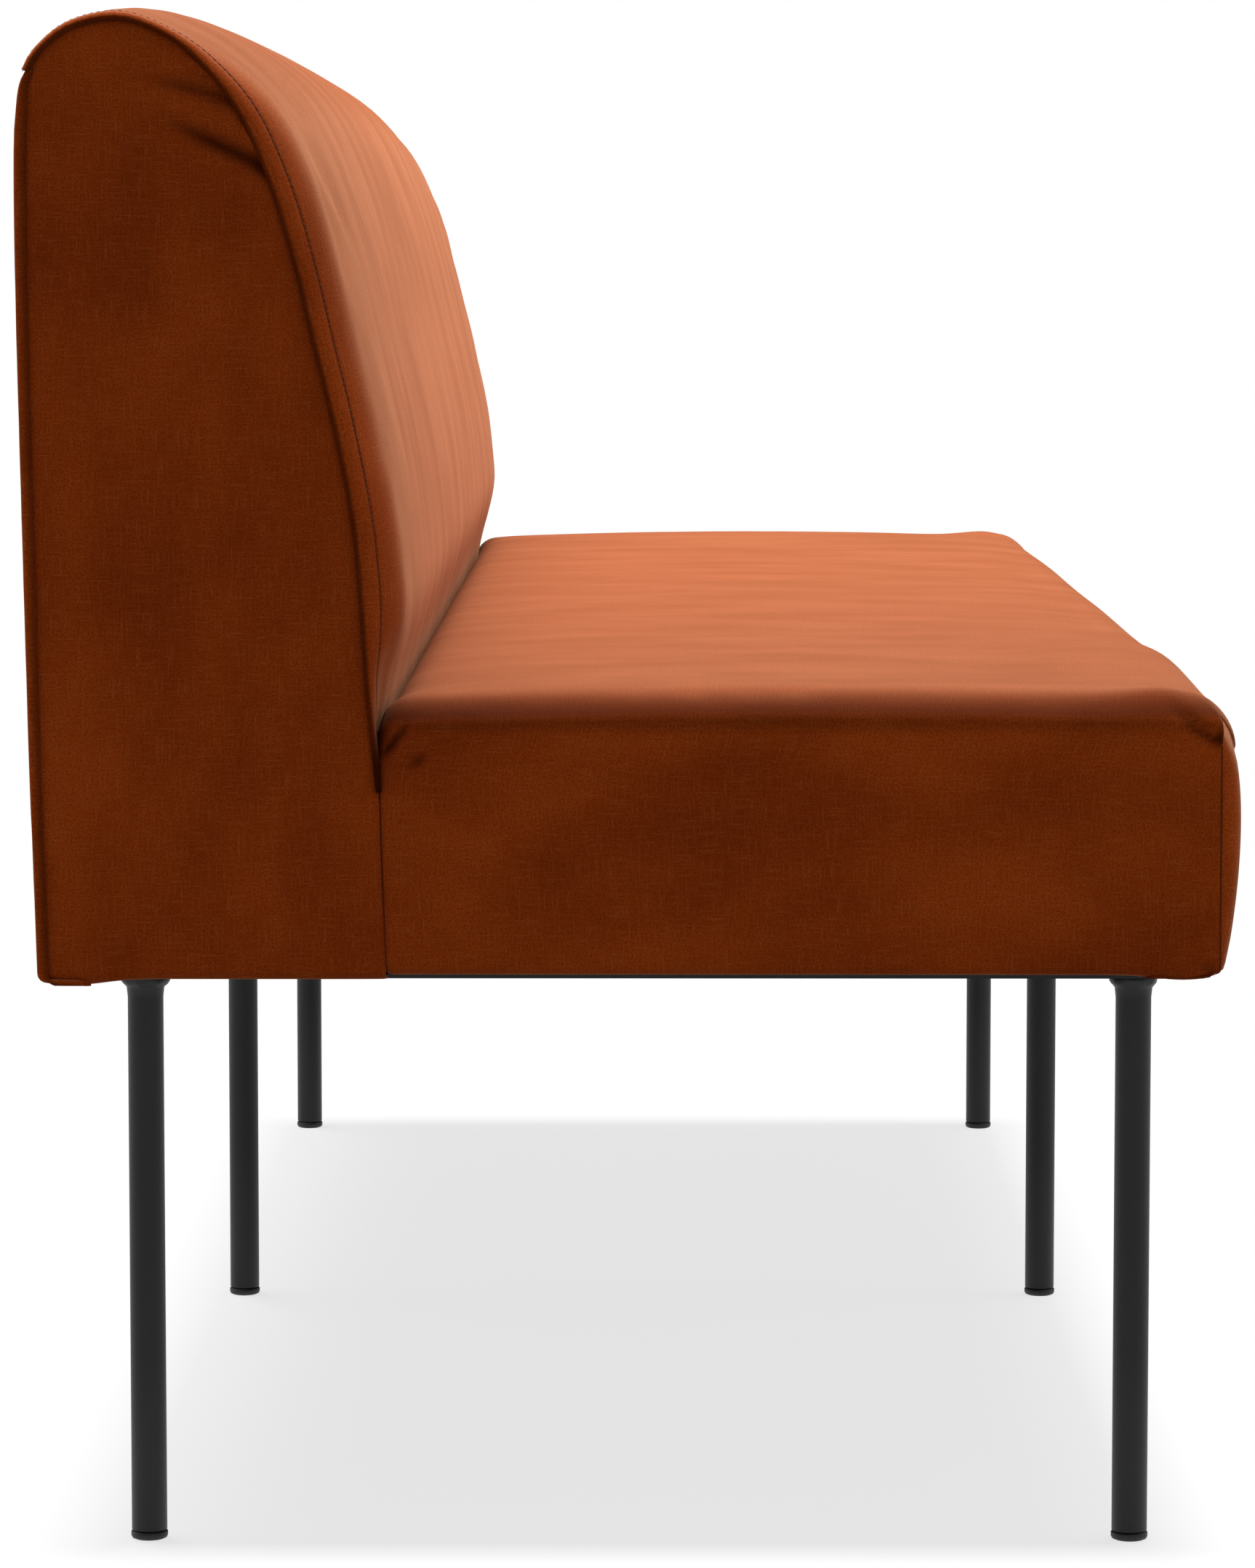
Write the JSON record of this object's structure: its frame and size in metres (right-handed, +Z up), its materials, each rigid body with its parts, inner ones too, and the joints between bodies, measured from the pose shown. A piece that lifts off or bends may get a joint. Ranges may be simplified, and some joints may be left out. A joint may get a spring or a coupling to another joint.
{
  "type": "upholstered dining bench",
  "caption": "Long upholstered dining bench with a padded leaning back, full velvet cover and slim round black steel legs, for several people along a table.",
  "frame": {"origin": "Centre of the bench's outline on the floor, under the foot glides.", "axes": "+X along the bench to the sitter's left, seen from the front to the right; +Y to the rear; +Z up."},
  "size_m": [1.8, 0.65, 0.85],
  "materials": {
    "velvet": "rust velvet with a fine slub weave and soft pile sheen",
    "wadding": "white polyester wadding",
    "foam": "cut polyurethane foam",
    "felt": "grey needled felt",
    "webbing": "black elastic webbing",
    "dust_cloth": "black non-woven dust cloth",
    "plywood": "raw plywood",
    "pine": "raw planed pine",
    "hardboard": "smooth hardboard",
    "black_powder_coat": "satin black powder coat with fine texture",
    "black_plastic": "matte black moulded plastic",
    "zinc_steel": "zinc plated steel"
  },
  "bodies": {
    "root": {"seat_cover": "velvet", "back_front_cover": "velvet", "rear_cover": "velvet", "back_end_cover_left": "velvet", "back_end_cover_right": "velvet", "seat_wadding": "wadding", "back_wadding": "wadding", "seat_foam": "foam", "back_foam": "foam", "seat_felt": "felt", "seat_webbing": "webbing", "seat_webbing_long": "webbing", "back_webbing": "webbing", "dust_cover": "dust_cloth", "end_former_left": "plywood", "end_former_right": "plywood", "back_former_left": "plywood", "back_former_right": "plywood", "front_rail": "pine", "inner_rail": "pine", "rear_rail": "pine", "lumbar_rail": "pine", "top_rail": "pine", "corner_blocks": "pine", "leg_rail_left": "pine", "leg_rail_centre": "pine", "leg_rail_right": "pine", "rear_board": "hardboard", "crossbar_left": "black_powder_coat", "crossbar_centre": "black_powder_coat", "crossbar_right": "black_powder_coat", "leg_front_left": "black_powder_coat", "leg_front_centre": "black_powder_coat", "leg_front_right": "black_powder_coat", "leg_rear_left": "black_powder_coat", "leg_rear_centre": "black_powder_coat", "leg_rear_right": "black_powder_coat", "foot_glides": "black_plastic", "crossbar_end_caps": "black_plastic", "crossbar_bolts": "zinc_steel", "tee_nuts": "zinc_steel", "frame_screws": "zinc_steel"}
  },
  "joints": []
}
